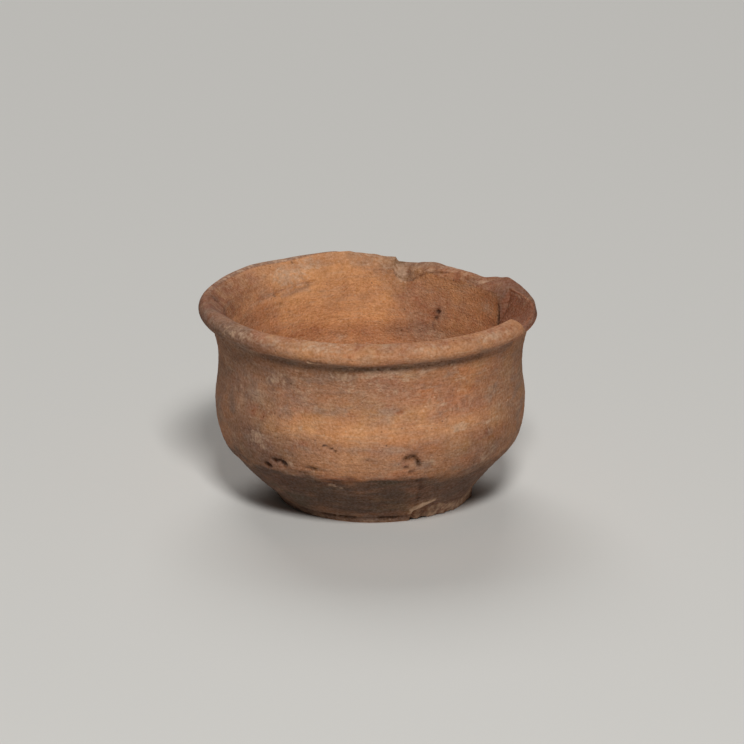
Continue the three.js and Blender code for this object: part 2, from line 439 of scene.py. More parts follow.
def true_shape():
    """Slants the inner lip, shifts the foot and turns angle, radius and height back into places."""
    slanted = np.where((course > SLANT_COURSES[0]) & (course < BOWL), 1, 0)
    slanted = slanted * (fade(azimuth, *SLANT_STARTS) + fade(azimuth, *SLANT_ENDS))
    for values, axis in ((radius, 0), (height, 1)):
        slant = np.interp(course, SLANT_COURSES, [point[axis] for point in SLANTED_LIP])
        values += (slant - values) * slanted
    heights, shifts = zip(*SIDE_SHIFTS)
    side = np.where(course < LIP, np.interp(height, heights, shifts), 0)
    place[:, 0] = radius * np.cos(np.radians(azimuth)) + side
    place[:, 1] = radius * np.sin(np.radians(azimuth))
    place[:, 2] = height + level_along(LIP_WAVES) * fade(height, 27, 31)


true_shape()
print(f"the foot sits {SIDE_SHIFTS[0][1]} mm to the right of the axis")


# %% [markdown]
# ## Relief and marks
# Everything that happened to the surface is written once, as a list of places, and used twice: it pushes
# the vertices in or out along their normals, and it fills the tone maps that the clay reads later. The
# maps are attributes on the vertices: pale bloom, fresh clay in a break, painted shade in crevices, ember
# red, and three that change slowly, the warm peach of clean clay, the grey veil of handling and the soot of
# the shaved foot. The veil and the soot also carry painted shade, under the lip, at the sides and on the
# foot's down-facing cone, and the bloom and the fresh clay also carry painted light on a few ridges and
# edges.

# %% Start the relief and the tone maps
relief = np.zeros(count)
tones = {name: np.zeros(count) for name in ("bloom", "fresh", "crevice", "ember", "warm", "veil", "soot")}


def tint(name, patch, amount):
    """Adds a patch to a tone map, which keeps the stronger of the two at each vertex."""
    tones[name] = np.maximum(tones[name], patch * amount)


# %% [markdown]
# ## Throwing lines
# The fingers leave low rings inside, a few millimetres apart, and a wet rag leaves much finer lines
# outside. Noise squeezed flat along the height gives lines that fade and start again, which rings of even
# size would not. Hands have rubbed the fullest part of the belly clean, in a band that wavers.

# %% Throwing lines
RING_PITCH = 3.4
RING_HEIGHT = 0.04
WIPE_HEIGHT = 0.035
LUMP_HEIGHT = 0.08
WIPED_AWAY = 0.1
FULLER_LIP = (-98, 28.9, 16, 1.5)
FULLER_BY = 0.25


def throwing_lines():
    """Rings inside, fine lines outside, slow lumps all over and a fuller lip in front."""
    global relief
    wander = speckle(14, 1)
    rings = np.sin(2 * np.pi * (height / RING_PITCH + wander * 0.5))
    wall = inside & (course > INNER_THROAT + 0.3)
    relief += np.where(wall, rings * RING_HEIGHT, 0)
    wiped = speckle(5, 2, flatten=0.1)
    fine = speckle(3, 3, flatten=0.12)
    below_lip = outside & (course < LIP)
    relief += np.where(below_lip, (wiped + 0.5 * fine) * WIPE_HEIGHT, 0)
    relief += np.where(course >= LIP, (wiped + fine) * WIPE_HEIGHT * 0.25, 0)
    relief += speckle(6, 4) * LUMP_HEIGHT
    relief -= np.where(below_lip, WIPED_AWAY, 0)
    relief += np.where(outside & (course > LIP), oval(*FULLER_LIP), 0) * FULLER_BY


throwing_lines()
print(f"the finger rings stand {RING_HEIGHT} mm high, {RING_PITCH} mm apart")

# %% The rubbed band on the belly
BAND_STARTS = (14.5, 17.1)
BAND_ENDS = (20.2, 17.7)
BAND_WAVER = 0.7
BAND_HEIGHT = 0.05
BAND_FRONT = (-130, -45, 25)


def rubbed_band():
    """A low swelling round the belly, warm in front."""
    global relief
    level = height + BAND_WAVER * speckle(9, 27)
    band = np.where(outside, fade(level, *BAND_STARTS) * fade(level, *BAND_ENDS), 0)
    relief += band * BAND_HEIGHT
    tint("warm", band * between(*BAND_FRONT), 0.65)


rubbed_band()

# %% [markdown]
# ## The shaved foot
# When the cup had stiffened, a blade took a cone off round the foot. It left a small step at its top edge,
# a darker skin, and above the floor a thin flange where the string had pressed the clay out. The dark skin
# is partly real and partly painted shade on the cone that faces the floor. The step wanders, so its height
# is worked out for each vertex, and streaks of noise blur the skin's upper edge.

# %% Shave the foot
SHAVED_STEP = 0.22
STEP_BLUR = 0.12
SHAVED_LEVEL = 8.8
SHAVED_BULGE = 0.6
BULGE_SPREAD = 22
EDGE_WANDER = 0.35
SOFT_LEFT = (-175, -118, 15)
SOFT_RIGHT = (-58, 0, 12)
FAR_SIDE = (20, 160, 30)
LOW_FRONT = (-98, -72, 6)
RIGHT_FRONT = (-66, -20, 12)
RED_ARCS = [(-122, -98, 6), (-88, -80, 3)]
shaved_edge = SHAVED_LEVEL + SHAVED_BULGE * np.exp(-(away(-90) / BULGE_SPREAD) ** 2)
shaved_edge = shaved_edge + speckle(7, 5, flatten=8) * EDGE_WANDER


def ring_at(level, width):
    """A band all round the wall, 1 at its level."""
    return np.clip(1 - ((height - level) / (width / 2)) ** 2, 0, 1)


def shaved_foot():
    """The step, and the dark skin under it, partly painted shade, softer at the sides and at the back."""
    global relief
    soft_left, soft_right, far_side = [between(*window) for window in (SOFT_LEFT, SOFT_RIGHT, FAR_SIDE)]
    below = np.where(outside, fade(height, shaved_edge + STEP_BLUR, shaved_edge - STEP_BLUR), 0)
    step_ring = np.where(outside, ring_at(shaved_edge, 5), 0) * (1 - 0.8 * soft_right)
    relief += (0.5 - below) * SHAVED_STEP * step_ring
    streaks = speckle(2.2, 6, flatten=0.22)
    smears = np.clip(speckle(4.5, 26, flatten=0.3), -1, 1)
    blur = 2.2 * soft_left + 1.9 * soft_right + 0.9 * far_side
    upper = shaved_edge + 1.1 + blur + streaks
    lower = shaved_edge - 0.7 - soft_right + streaks * 0.8
    skin = np.where(outside & (course > FOOT_EDGE), fade(height, upper, lower), 0)
    # The dark skin and its painted shade thin out towards the floor, and on the right and at the back
    depth = 1 - (0.3 + 0.25 * between(*LOW_FRONT)) * fade(height, 3.2, 0.8)
    depth = depth * (1 - 0.3 * between(*RIGHT_FRONT)) * (1 - 0.4 * far_side)
    # The soot map here is the real dark skin together with painted shade on the down-facing cone
    tint("soot", skin * depth * (1 + 0.3 * streaks) * (0.96 + 0.32 * smears), 1.0)
    red_arcs = sum(between(*window) for window in RED_ARCS)
    red_edge = ring_at(shaved_edge + 0.5, 0.9) * red_arcs * (1 + streaks)
    tint("ember", np.where(outside, red_edge, 0), 0.55)


shaved_foot()
print(f"the step lies {shaved_edge.min():.1f} to {shaved_edge.max():.1f} mm up")

# %% Press out the flange
GROOVE_LEVEL = 0.9
GROOVE_WIDTH = 0.6
GROOVE_DEPTH = 0.35
GROOVE_ALONG = (-138, -70, 4)
GROOVE_DASHES = [(-121, -114, 2), (-110, -101, 2), (-85, -77, 3)]
FLANGE_TOP = 0.75
FLANGE_FULL = 0.4
FLANGE_REACH = 0.12
CHIPPED_PART = (-64, -10, 6)


def string_flange():
    """A thin flange above the floor, a broken groove over it with painted shade in it, and painted shade
    just above the floor.
    """
    global relief
    dashes = sum(between(*window) for window in GROOVE_DASHES)
    strength = 0.35 * between(*GROOVE_ALONG) + 0.65 * dashes
    groove = ring_at(GROOVE_LEVEL, GROOVE_WIDTH) * strength * (0.9 + 0.4 * speckle(2.5, 7))
    groove = np.where(outside, np.clip(groove, 0, 1), 0)
    relief -= groove * GROOVE_DEPTH
    # The groove is painted dark, as its shade
    tint("crevice", np.sqrt(groove), 0.85)
    flange = np.where(outside, fade(height, FLANGE_TOP, FLANGE_FULL), 0)
    relief += flange * FLANGE_REACH
    tint("bloom", flange, 0.25)
    # The wall just above the floor is painted darker, as painted shade, except at the chip
    shade_above_floor = np.where(outside, fade(height, 1.9, 0.9), 0)
    tint("veil", shade_above_floor * (1 - between(*CHIPPED_PART)), 0.9)


string_flange()

# %% [markdown]
# ## Pits, scratches and cracks
# Grit that was dragged by the blade left pits, and drying opened a few cracks. Their darkness is painted
# shade. Each is one line of a list: where it is, how large, how deep and how dark.

# %% Pits and cuts outside
# Each pit: angle, height, length, width, turn, depth and darkness
OUTER_PITS = [
    (-132.8, 10.2, 2.0, 1.2, -15, 0.35, 1.0),
    (-128.3, 11.4, 2.6, 1.1, -5, 0.3, 0.9),
    (-124.8, 11.2, 2.2, 1.3, -25, 0.45, 1.0),
    (-120.0, 12.9, 0.7, 0.5, 50, 0.2, 0.6),
    (-112.3, 11.2, 3.8, 0.8, -6, 0.15, 0.75),
    (-107.6, 11.0, 1.6, 0.6, 0, 0.12, 0.5),
    (-91.0, 13.25, 1.4, 0.6, 10, 0.12, 0.5),
    (-76.6, 11.6, 1.3, 0.9, 0, 0.35, 0.6),
    (-74.4, 10.8, 1.6, 0.8, 0, 0.25, 0.5),
    (-78.6, 12.4, 0.6, 0.4, 0, 0.15, 0.4),
    (-67.3, 13.4, 0.9, 0.5, 35, 0.15, 0.5),
    (-68.0, 12.9, 0.7, 0.4, 0, 0.12, 0.45),
    (-66.4, 11.25, 0.7, 0.5, 0, 0.15, 0.5),
    (-64.3, 6.4, 1.3, 0.9, 0, 0.1, 0.35),
    (-70.6, 8.8, 1.6, 0.9, -50, 0.1, 0.4),
    (-67.0, 7.2, 1.7, 1.9, 0, 0.12, 0.6),
    (-65.6, 4.6, 1.1, 1.1, 0, 0.12, 0.65),
    (-89.0, 9.6, 1.4, 0.4, 20, 0.08, 0.35),
    (-82.8, 18.2, 0.5, 0.3, 30, 0.12, 0.6),
    (-110.7, 24.1, 0.5, 0.3, 0, 0.1, 0.5),
    (-100.7, 25.2, 0.5, 0.3, 0, 0.1, 0.5),
    (-96.4, 27.9, 0.8, 0.5, 0, 0.2, 0.5),
]
CRACK_DOWN_THE_CONE = [(-69.8, 9.3), (-68.4, 8.0), (-67.0, 7.0), (-66.2, 5.6), (-65.6, 4.4), (-66.4, 2.6)]
# Each cut: the places along it, its width, depth and darkness
OUTER_CUTS = [
    ([(-107.4, 15.25), (-104.7, 15.0), (-102.5, 14.4)], 0.6, 0.2, 0.9),
    ([(-76.6, 13.1), (-75.2, 13.35), (-73.6, 13.2)], 1.7, 0.45, 0.75),
    ([(-73.7, 13.1), (-72.3, 12.7), (-71.6, 12.0)], 1.2, 0.4, 0.85),
    ([(-47.2, 23.7), (-44.9, 22.35)], 0.3, 0.08, 0.6),
    (CRACK_DOWN_THE_CONE, 1.3, 0.08, 0.45),
    ([(-82.8, 18.1), (-81.3, 18.6), (-79.1, 19.15)], 0.35, 0.08, 0.4),
    ([(-111.4, 29.15), (-109.6, 28.9), (-106.2, 29.0)], 0.4, 0.2, 0.5),
    ([(-101.5, 27.65), (-97, 27.5)], 0.6, 0.1, 0.6),
]

# %% Pits and cuts inside
INNER_PITS = [
    (60.0, 23.6, 1.1, 1.2, 0, 0.4, 1.0),
    (60.9, 22.5, 0.9, 1.1, 0, 0.3, 0.8),
    (62.2, 21.2, 0.8, 2.2, 0, 0.1, 0.5),
    (51.3, 23.2, 0.5, 0.4, 0, 0.1, 0.4),
    (49.0, 22.7, 0.5, 0.4, 0, 0.1, 0.35),
    (133.2, 26.9, 1.2, 0.45, 30, 0.12, 0.6),
    (131.2, 25.6, 1.0, 0.6, 0, 0.15, 0.55),
    (116.3, 27.6, 1.1, 0.5, 20, 0.15, 0.6),
    (111.2, 26.5, 1.0, 0.6, 0, 0.08, 0.35),
    (100.4, 28.3, 0.9, 0.5, 20, 0.08, 0.35),
    (119.9, 30.9, 0.5, 0.5, 0, 0.1, 0.6),
]
# The line of painted shade under the edge of a broken facet inside
FACET_EDGE = [(73.4, 27.9), (69.8, 28.55), (67.2, 29.15), (64.6, 29.6), (61, 29.85), (56, 30)]
INNER_CUTS = [
    ([(119.9, 30.8), (118.8, 29.7), (118.6, 28.5)], 0.3, 0.06, 0.4),
    (FACET_EDGE, 0.6, 0.1, 0.45),
]

# %% Cut the marks
# A darker halo round each pit is this much longer and wider than its pit
HALO_LENGTH = 1.9
HALO_WIDTH = 1.5
HALO_SHARE = 0.3


def cut_marks(side, pits, cuts):
    """Presses pits and cuts into one side, paints shade into them and a darker halo round each pit."""
    global relief
    for angle, level, length, width, turn, depth, dark in pits:
        patch = np.where(side, oval(angle, level, length, width, turn), 0)
        relief -= patch * depth
        tint("crevice", patch ** 0.75, dark)
        halo = oval(angle, level, length * HALO_LENGTH, width * HALO_WIDTH, turn)
        tint("soot", np.where(side, halo, 0), HALO_SHARE * dark)
    for points, width, depth, dark in cuts:
        patch = np.where(side, line(points, width), 0)
        relief -= patch * depth
        tint("crevice", patch ** 0.65, dark)


cut_marks(outside, OUTER_PITS, OUTER_CUTS)
cut_marks(inside, INNER_PITS, INNER_CUTS)
print(f"{len(OUTER_PITS) + len(INNER_PITS)} pits and {len(OUTER_CUTS) + len(INNER_CUTS)} cuts are in")

# %% Raise the flake under the lip
LIP_FLAKE = [(-111.4, 28.75), (-109.6, 28.4), (-106.6, 28.55)]
FLAKE_WIDTH = 0.9
FLAKE_HEIGHT = 0.15
relief += np.where(outside, line(LIP_FLAKE, FLAKE_WIDTH), 0) * FLAKE_HEIGHT

# %% [markdown]
# ## Folds inside
# Inside the back wall a smear of slip ends in a low ridge, painted lighter on its edge and darker below as
# painted highlight and shade, and further right the wall steps back along a slanting fold, painted darker
# along it as shade. A step is a line with one side raised or sunk a little, and the raised side fades back
# into the wall. Beside the flake scar on the right runs one upright crack, painted dark as its shade, with
# a strip painted lighter as painted light to the left of it.

# %% Open the crack
CRACK = [(19.9, 28.6), (19.9, 27.0), (19.9, 25.6), (20.0, 24.9)]
CRACK_WIDTH = 1.5
CRACK_DEPTH = 0.3
LIT_STRIP = (21, 44, 5)


def open_crack():
    """The crack with painted shade in it, and the strip to the left of it painted lighter, as painted
    light.
    """
    global relief
    crack = np.where(inside, line(CRACK, CRACK_WIDTH), 0) * fade(height, 29, 27.6)
    relief -= crack * CRACK_DEPTH
    # Painted shade in the crack
    tint("soot", np.sqrt(crack), 0.55)
    tint("crevice", crack, 0.75)
    # The strip left of the crack is painted lighter, as painted light, where the wall turns from the lamp
    strip = np.where(inside, between(*LIT_STRIP), 0) * fade(crack, 0.3, 0.1)
    tint("warm", strip * fade(height, 29.6, 28.6), 0.6)


open_crack()

# %% Smear the slip
SLIP_RIDGE = [(140, 27.3), (133.5, 27.3), (129.1, 27.45), (125.4, 27.5), (121.8, 27.75), (117, 28.05)]
SLIP_HEIGHT = 0.24
SLIP_ALONG = (116, 142, 4)
THROWN_ARC = [(112, 22.0), (110.8, 22.4), (105.4, 23.5), (100.9, 24.0), (96.6, 24.2), (92, 24.2)]
ARC_HEIGHT = 0.06


def smear_slip():
    """The slip's lower ridge, with a painted highlight on its edge and painted shade below, and the arc of
    a finger under it.
    """
    global relief
    levels = level_along(SLIP_RIDGE[::-1])
    slip = np.where(inside, fade(height, levels - 0.1, levels + 0.15), 0) * between(*SLIP_ALONG)
    relief += slip * fade(height, levels + 2.5, levels + 0.3) * SLIP_HEIGHT
    # A painted highlight along the ridge's edge
    tint("fresh", np.where(inside, line(SLIP_RIDGE, 1.0), 0), 0.55)
    # Painted shade under the ridge
    shade = [(angle, level - 0.75) for angle, level in SLIP_RIDGE[2:]]
    tint("veil", np.where(inside, line(shade, 1.1), 0), 0.9)
    relief += np.where(inside, line(THROWN_ARC, 1.2), 0) * ARC_HEIGHT


smear_slip()

# %% Fold the back wall
FOLD = [
    (88.1, 29.2), (86.0, 28.0), (83.4, 26.7), (80.8, 25.5), (78.5, 24.3), (75.8, 22.95), (72.2, 21.4),
    (69, 19),
]
FOLD_DEPTH = 0.2
WARM_LEFT = (85, 128, 14)


def fold_wall():
    """The wall right of the fold lies deeper and is painted greyer as shade, a line of painted shade runs
    along the fold, and the wall left of it is warm.
    """
    global relief
    fold_angles, fold_levels = zip(*FOLD[::-1])
    fold_angle = np.interp(height, fold_levels, fold_angles)
    right = np.where(inside, fade(azimuth, fold_angle + 0.5, fold_angle - 0.7), 0)
    right = right * fade(height, 29.5, 28.5) * fade(height, 18, 21) * fade(azimuth, 35, 62)
    relief -= right * FOLD_DEPTH
    # Painted shade on the wall right of the fold, and along the fold itself
    tint("veil", right, 0.38)
    tint("veil", np.where(inside, line(FOLD, 1.0), 0), 0.4)
    left = np.where(inside, fade(azimuth, fold_angle - 0.5, fold_angle + 2), 0) * fade(height, 17, 22)
    tint("warm", left * between(*WARM_LEFT) * fade(height, 31.5, 29), 1.0)


fold_wall()

# %% [markdown]
# ## Break faces
# Broken clay is rough and lighter or redder than the skin, until handling greys it again. The flake scar
# and the step face beside it are also painted darker, as painted shade. The course of a vertex tells which
# face of the break it lies on, so each face is a window of courses times a window of angles, and gets its
# own grain and tones.

# %% Roughen the breaks
# How grimy the broken rim has become: angle and amount
RIM_GRIME = [
    (-26, 0), (-20, 0.5), (10, 0.6), (26, 0.5), (33, 0.3), (40, 0.35), (48, 0.2), (56, 0.05), (62, 0.4),
    (70, 0.45), (78, 0.65), (84, 0.3), (88, 0),
]
SCAR_FROM, SCAR_TO = -24, 19.2
BREAK_FROM, BREAK_TO = 38.5, 80.2
SCAR_TOP = [(-4, LIP + 0.1), (3, LIP + 0.8), (19, LIP + 0.95)]
SCAR_FOOT = INNER_THROAT + 0.56
SCAR_RAGGED = 0.16
CREST_LOST = (42, 97, 3)
BREAK_FRESH = (44, 80, 4)
BREAK_RED = (44, 76, 4)
SPALL_FACE = (81, 98, 2)
SPALL_PALE = (81, 100, 1)
SCAR_STEP = (18.9, 19.5, 0.5)
RIM_RED = (-22, 60, 6)
SIDE_LOST = (-20, 97, 3)
SIDE_ROUGH = (21, 97, 2)
SIDE_FRESH = (24, 97, 3)
WORN_END = (-4, 36, 5)


def break_faces():
    """Gives each face of the break its grain and tones, and tells where the scar lies."""
    global relief
    inner_face = fade(course, LIP + 0.5, LIP + 0.62)
    inner_face = inner_face * fade(course, INNER_THROAT + 0.54, INNER_THROAT + 0.46)
    crest = fade(course, LIP + 0.35, LIP + 0.5) * fade(course, LIP + 0.95, LIP + 0.75)
    outer = fade(course, LIP + 0.05, LIP + 0.2) * fade(course, LIP + 0.62, LIP + 0.5)
    broken = inner_face * between(BREAK_FROM, BREAK_TO, 0.6)
    spall = inner_face * between(*SPALL_FACE)
    lost = outer * between(*SIDE_LOST)
    scar_top = level_along(SCAR_TOP)
    scar_foot = SCAR_FOOT + SCAR_RAGGED * speckle(3, 24)
    scar = fade(course, scar_top, scar_top + 0.1) * fade(course, scar_foot + 0.12, scar_foot - 0.12)
    scar = scar * between(SCAR_FROM, SCAR_TO, 0.4)
    step = between(*SCAR_STEP) * fade(course, LIP + 0.97, INNER_THROAT)
    step = step * fade(course, SCAR_FOOT, BREAK_EDGE)
    worn_end = between(*WORN_END) * fade(course, LIP, LIP + 0.15) * fade(course, INNER_THROAT, LIP + 0.9)
    roughness = broken * 0.06 + lost * between(*SIDE_ROUGH) * 0.2 + scar * 0.02 + spall * 0.02
    relief += roughness * speckle(1.6, 11, detail=3)
    tint("veil", worn_end, 0.35)
    tint("veil", crest * between(*CREST_LOST), 0.6)
    tint("bloom", crest * between(*CREST_LOST), 0.3)
    tint("veil", spall * between(*SPALL_PALE), 0.4)
    tint("bloom", spall * between(*SPALL_PALE), 0.2)
    tint("fresh", broken * between(*BREAK_FRESH), 0.2)
    tint("ember", broken * between(*BREAK_RED), 0.25)
    tint("fresh", lost * between(*SIDE_FRESH), 0.4)
    # The scar is the redder clay of the break, and the scar and the step face beside it are painted darker
    # as painted shade
    tint("ember", np.maximum(scar, step * 0.8), 0.95)
    tint("veil", np.maximum(step, scar * 0.15), 0.8)
    tint("soot", np.maximum(step, scar * 0.9), 0.3)
    skinned = np.clip(crest + outer + inner_face - scar, 0, 1)
    tint("soot", skinned * level_along(RIM_GRIME), 1.0)
    tint("ember", skinned * between(*RIM_RED), 0.6)
    return scar


scar = break_faces()
print(f"the scar covers {(scar > 0.5).sum()} vertices")

# %% [markdown]
# ## The chip under the foot
# At the front right a flake left the foot's edge. Its upper edge is a bright ridge that climbs from the
# floor, and the face under it falls back, so it lies in shade. The ridge is painted pale as fresh clay and
# as its highlight, and the face under it is painted darker as painted shade.

# %% Chip the foot
CHIP_RIDGE = [
    (-67.5, 1.2), (-66.9, 2.1), (-63.4, 2.6), (-60.0, 3.0), (-56.6, 3.45), (-52.5, 3.3), (-41.8, 1.8),
    (-30, 1.0),
]
CHIP_DEPTH = 0.55
CHIP_SHALLOWER = 0.25
CHIP_ROUGHNESS = 0.22
WEDGE_HEIGHT = 0.15
CHIP_ALONG = (-66.6, -34, 0.8)
CHIP_FRESH = (-62, -42, 4)
CHIP_SHADE = (-66, -47, 4)
CHIP_RED = (-60, -38, 3)
# Spots on the ridge: angle, height, length, width and turn
BROKEN_WEDGE = (-60.2, 3.0, 4.2, 1.5, 18)
FRESH_SPOT = (-55.5, 3.1, 1.6, 1.0)
RED_SPOT = (-56.5, 3.2, 3.2, 1.6)


def foot_chip():
    """The sunk face under the ridge with its painted shade, and the bright wedge of broken clay on the
    ridge with its painted highlight.
    """
    global relief
    ridge = level_along(CHIP_RIDGE)
    under = np.where(course < LOWER_BELLY, fade(height, ridge + 0.25, ridge - 0.9), 0)
    under = np.where(course > FOOT_EDGE, under, 0) * between(*CHIP_ALONG)
    depth = CHIP_DEPTH - CHIP_SHALLOWER * fade(azimuth, -54, -40)
    relief -= under * depth * fade(height, -1.5, 1.2)
    relief += under * speckle(0.9, 12, detail=2) * CHIP_ROUGHNESS
    wedge = np.maximum(line(CHIP_RIDGE[1:4], 1.7), oval(*BROKEN_WEDGE))
    wedge = np.where(outside, np.clip(wedge * (1.2 + 0.8 * speckle(0.9, 15)), 0, 1), 0)
    relief += wedge * WEDGE_HEIGHT
    # The wedge is painted pale, as fresh clay and as a painted highlight on the lit ridge
    tint("fresh", np.sqrt(wedge), 1.0)
    tint("bloom", np.sqrt(wedge), 0.8)
    tint("fresh", under * between(*CHIP_FRESH) * (1 + 0.8 * speckle(1.5, 21)), 0.22)
    # Painted shade on the sunk face
    tint("soot", under * between(*CHIP_SHADE) * (0.4 + 0.6 * fade(height, 2.6, 1.4)), 0.65)
    tint("fresh", np.where(outside, oval(*FRESH_SPOT), 0), 0.6)
    tint("ember", np.where(outside, oval(*RED_SPOT), 0), 0.9)
    tint("ember", under * between(*CHIP_RED), 0.5)


foot_chip()

# %% [markdown]
# ## The flared foot
# The string left the cup at the right, and dragged the clay of the foot out with it. The flare is a list of
# how far the foot reaches out at each angle, and it fades within two millimetres of the floor. At the front
# right the foot's edge is rubbed down to fresher clay.

# %% Flare the foot where the string left
FOOT_FLARE = [
    (-180, 0.45), (-165, 0.35), (-150, 0.2), (-135, 0), (-70, 0), (-50, 0.3), (-38, 0.55), (-25, 0.45),
    (-14, 0.6), (-6, 1.1), (2, 1.1), (14, 0.4), (30, 0), (150, 0), (180, 0.45),
]
FLARE_STARTS = 1.9
FLARE_FULL = 0.5
WORN_EDGE = (-50, -14, 16)
DRAGGED_LUMP = (2, 3.5, 9, 1.6)
LUMP_REACH = 0.25


def foot_flare():
    """Pushes the foot's edge out where the string dragged it, and wears it."""
    global relief
    reach = level_along(FOOT_FLARE) * fade(height, FLARE_STARTS, FLARE_FULL)
    relief += np.where((course < LOWER_BELLY) & (course > FOOT_EDGE), reach, 0)
    relief += np.where(outside, oval(*DRAGGED_LUMP), 0) * LUMP_REACH
    worn_edge = np.where(outside, fade(height + 0.6 * speckle(2, 22), 2.6, 1.2), 0)
    tint("fresh", worn_edge * between(*WORN_EDGE), 0.5)


foot_flare()

# %% [markdown]
# ## Stains
# Burial and handling left pale and grey patches, and the fire left redder and yellower ones. Some of the
# grey and soot patches are painted shade instead, at the two sides where the wall turns from the light and
# at the lip's left end. They are soft ovals with ragged edges, which the clay breaks up further. One loop
# lays them all, so a new stain is only a new row.

# %% Name the stains
# Where the painted shade under the lip runs: angle and height
UNDER_LIP = [
    (-170, 27.4), (-145, 27.4), (-128, 27.5), (-115, 27.5), (-99.6, 27.5), (-88, 27.7), (-77, 27.8),
    (-65, 27.6), (-47, 27.8),
]
# For each tone map its stains: angle, height, length, width, turn and strength
OUTER_STAINS = {
    "bloom": [
        (-86.5, 26.8, 9, 2.0, 0, 0.7), (-88, 24.6, 15, 4, 0, 0.22), (-76, 26.1, 5, 2.0, 0, 0.6),
        (-101, 26.3, 5, 1.8, 0, 0.6), (-127.6, 24.4, 5, 3, 20, 0.5), (-134.6, 14.3, 6, 2.8, 0, 0.55),
        (-121.4, 11.4, 1.6, 1.1, 0, 0.8), (-117, 17.6, 1.4, 1.2, 0, 0.7),
        (-147.6, 21.5, 1.0, 0.9, 0, 0.7), (-54.5, 17.2, 4.5, 1.5, 0, 0.8),
        (-66, 12.3, 2.5, 2.0, 0, 0.5), (-97, 24.3, 1.6, 0.8, 30, 0.8), (-40, 11, 5, 3, 30, 0.45),
    ],
    # The broad grey patches at the sides, near -150, -172, -142 and -20 degrees, are painted shade where
    # the wall turns from the light
    "veil": [
        (-42, 5.5, 20, 8, 0, 0.95), (-118, 14.2, 18, 6, 0, 0.45), (-104, 23.5, 24, 8, 0, 0.5),
        (-150, 21, 26, 16, 0, 0.85), (-128, 23, 18, 8, 0, 0.7), (-135, 14, 10, 5, 0, 0.4),
        (-22, 12, 16, 9, 0, 0.5), (-36, 11.2, 14, 6, 0, 0.7), (-20, 21, 18, 14, 0, 0.5),
        (-80, 13, 40, 5, 0, 0.3), (-142, 13, 18, 10, 0, 0.7), (-172, 20, 22, 18, 0, 0.6),
    ],
    "ember": [
        (-40.3, 14.6, 7, 3.2, 0, 0.5), (-82, 21, 6, 2.6, 0, 0.3), (-116.4, 15.2, 6, 1.6, 0, 0.35),
        (-77, 11.9, 1.8, 1.6, 0, 0.5), (-93, 27.3, 3, 0.9, 0, 0.5), (-47, 23, 3, 3, 0, 0.35),
        (-136, 18.5, 7, 3, 0, 0.4), (-122, 22, 6, 2.4, 0, 0.35),
    ],
    # The broad soot patches at the sides, near -168 and -14 degrees, are painted shade where the wall turns
    # from the light
    "soot": [
        (-46, 13, 26, 7.5, 0, 0.27), (-33, 15.5, 18, 8, 0, 0.27), (-36, 21, 13, 10, 0, 0.17),
        (-58, 10.4, 20, 3.2, 0, 0.25), (-138, 15.2, 20, 6, 0, 0.38), (-133, 11.8, 20, 7, 0, 0.5),
        (-168, 18, 22, 16, 0, 0.12), (-14, 18, 20, 16, 0, 0.15), (-128, 25.2, 16, 4.5, 0, 0.3),
    ],
    "warm": [
        (-60, 15, 9, 5, 0, 0.4), (-70, 20.5, 6, 3, 0, 0.5), (-98, 12.5, 22, 4.5, 0, 0.5),
    ],
}
RIM_SPOTS = {
    "fresh": [
        (41.2, 29.7, 1.6, 0.8, 0, 0.4), (38.6, 29.8, 1.6, 0.8, 0, 0.5),
    ],
    # Dark spots of painted shade in hollows of the broken rim
    "crevice": [
        (43.2, 28.9, 1.2, 0.7, 0, 0.45), (36, 28.7, 1.6, 0.6, 0, 0.35),
    ],
}
# Each streak: tone map, the places along it, width and strength
OUTER_STREAKS = [
    ("bloom", [(-59.6, 27.4), (-57.0, 26.2), (-54.2, 24.8)], 0.7, 0.8),
    ("bloom", [(-56.8, 24.5), (-52.8, 24.7), (-49.6, 24.9)], 0.6, 0.8),
    ("bloom", [(-43.2, 16.6), (-38.7, 16.9), (-34.3, 16.9)], 0.7, 0.8),
    ("bloom", [(-67.4, 20.7), (-65, 20.9), (-60.8, 21.1)], 0.5, 0.7),
    ("bloom", [(-107, 8.1), (-104.1, 8.0), (-100.9, 7.7)], 0.7, 0.9),
    # The flake under the lip is painted pale, as fresh clay and as the highlight on its lit edge
    ("fresh", LIP_FLAKE, FLAKE_WIDTH, 1.0),
    ("fresh", [(-97.6, 27.8), (-95.8, 27.85)], 0.5, 0.8),
    ("bloom", [(-81.8, 23.9), (-79.2, 24.2)], 0.5, 0.7),
]
LIP_STAINS = {
    "ember": [
        (170, 31.0, 9, 4, 0, 0.55), (-88, 31.0, 22, 3, 0, 0.18), (177, 30.6, 36, 9, 0, 0.6),
    ],
    # The grey patches at the lip's left end and front left are painted shade on its turned-away side
    "veil": [
        (172, 30.6, 34, 9, 0, 0.3), (-158, 30.2, 30, 6, 0, 0.9),
    ],
    # The broad soot patches at the lip's left end and front left are painted shade
    "soot": [
        (180, 30.6, 34, 9, 0, 0.38), (-153, 29.7, 34, 5, 0, 0.5), (173, 30.5, 4, 2, 0, 0.6),
    ],
    "bloom": [
        (-107, 31.2, 11, 1.6, 0, 0.6), (-125, 30.9, 8, 1.6, 0, 0.4), (-45, 31.0, 9, 1.4, 0, 0.6),
        (-70, 31.0, 8, 1.4, 0, 0.4), (-141, 30.8, 10, 1.8, 0, 0.45),
    ],
}
